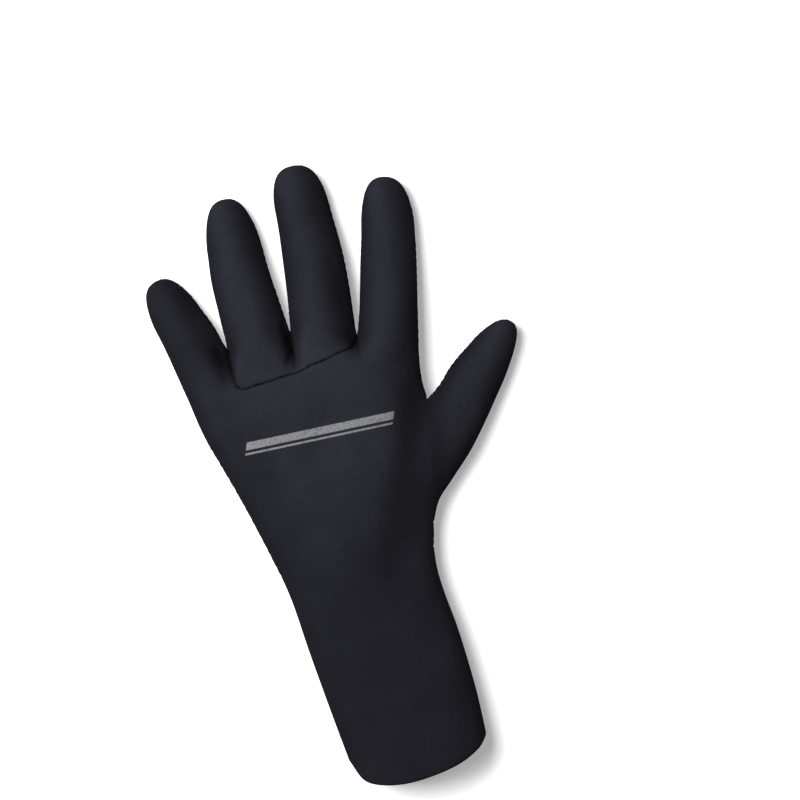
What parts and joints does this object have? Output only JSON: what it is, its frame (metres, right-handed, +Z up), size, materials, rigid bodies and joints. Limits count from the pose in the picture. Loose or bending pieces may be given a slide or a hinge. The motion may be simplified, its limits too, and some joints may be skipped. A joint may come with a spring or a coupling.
{
  "type": "paddling glove",
  "caption": "Left-hand neoprene paddling glove with a long open cuff, smooth back, set-in two-finger back panel and studded rubber palm, lying palm down.",
  "frame": {"origin": "under the middle of the glove's box, on the surface that the glove lies on", "axes": "+Y from the cuff to the fingertips, +X to the thumb, +Z up out of the back of the hand"},
  "size_m": [0.1794, 0.3134, 0.0368],
  "materials": {
    "neoprene": "matt knitted jersey over foam rubber",
    "grip_rubber": "matt rubber with small raised studs"
  },
  "bodies": {
    "root": {"back_panel": "neoprene", "ring_middle_back": "neoprene", "palm_grip": "grip_rubber", "thumb_grip": "grip_rubber", "cuff_palm": "neoprene"}
  },
  "joints": []
}
